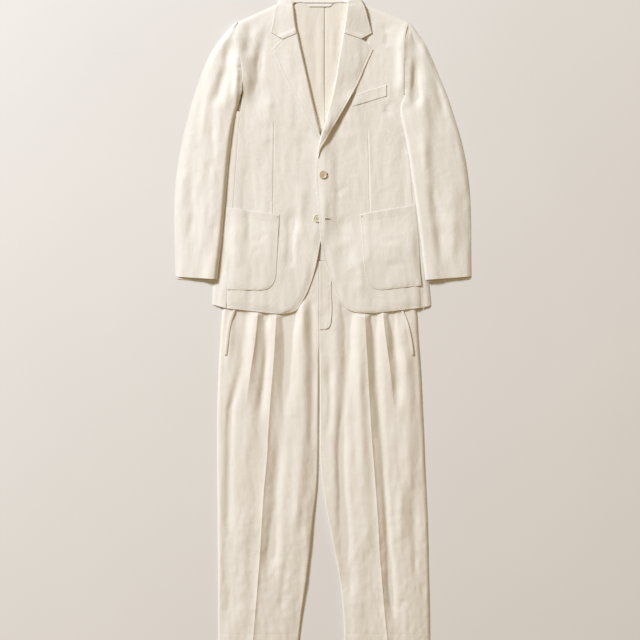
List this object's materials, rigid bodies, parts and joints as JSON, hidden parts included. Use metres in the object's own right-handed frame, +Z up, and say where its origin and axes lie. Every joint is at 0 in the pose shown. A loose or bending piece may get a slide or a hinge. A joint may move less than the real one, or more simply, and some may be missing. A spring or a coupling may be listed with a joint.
{
  "type": "linen suit laid flat",
  "caption": "Ivory linen suit laid flat: unlined single-breasted jacket with notched lapels and patch pockets over pleated trousers.",
  "frame": {"origin": "centre of the suit's outline, on the surface that it lies on", "axes": "+Y from the trouser hems to the collar, +Z up from the surface, +X to the wearer's left"},
  "size_m": [0.744, 1.6561, 0.014],
  "materials": {
    "jacket_linen": "plain-woven slubby linen, matte",
    "trouser_linen": "plain-woven slubby linen, matte",
    "horn_button": "satin horn"
  },
  "bodies": {
    "root": {"jacket_back_left": "jacket_linen", "jacket_back_right": "jacket_linen", "jacket_side_left": "jacket_linen", "jacket_side_right": "jacket_linen", "jacket_front_left": "jacket_linen", "jacket_front_right": "jacket_linen", "lapel_left": "jacket_linen", "lapel_right": "jacket_linen", "collar": "jacket_linen", "neck_tab": "jacket_linen", "sleeve_upper_left": "jacket_linen", "sleeve_upper_right": "jacket_linen", "sleeve_under_left": "jacket_linen", "sleeve_under_right": "jacket_linen", "hip_pocket_left": "jacket_linen", "hip_pocket_right": "jacket_linen", "breast_welt": "jacket_linen", "trouser_back_left": "trouser_linen", "trouser_back_right": "trouser_linen", "trouser_front_left": "trouser_linen", "trouser_front_right": "trouser_linen", "waistband_left": "trouser_linen", "waistband_right": "trouser_linen", "waistband_back": "trouser_linen", "fly": "trouser_linen", "pocket_mouth_left": "trouser_linen", "pocket_mouth_right": "trouser_linen", "button_upper": "horn_button", "button_lower": "horn_button"}
  },
  "joints": []
}
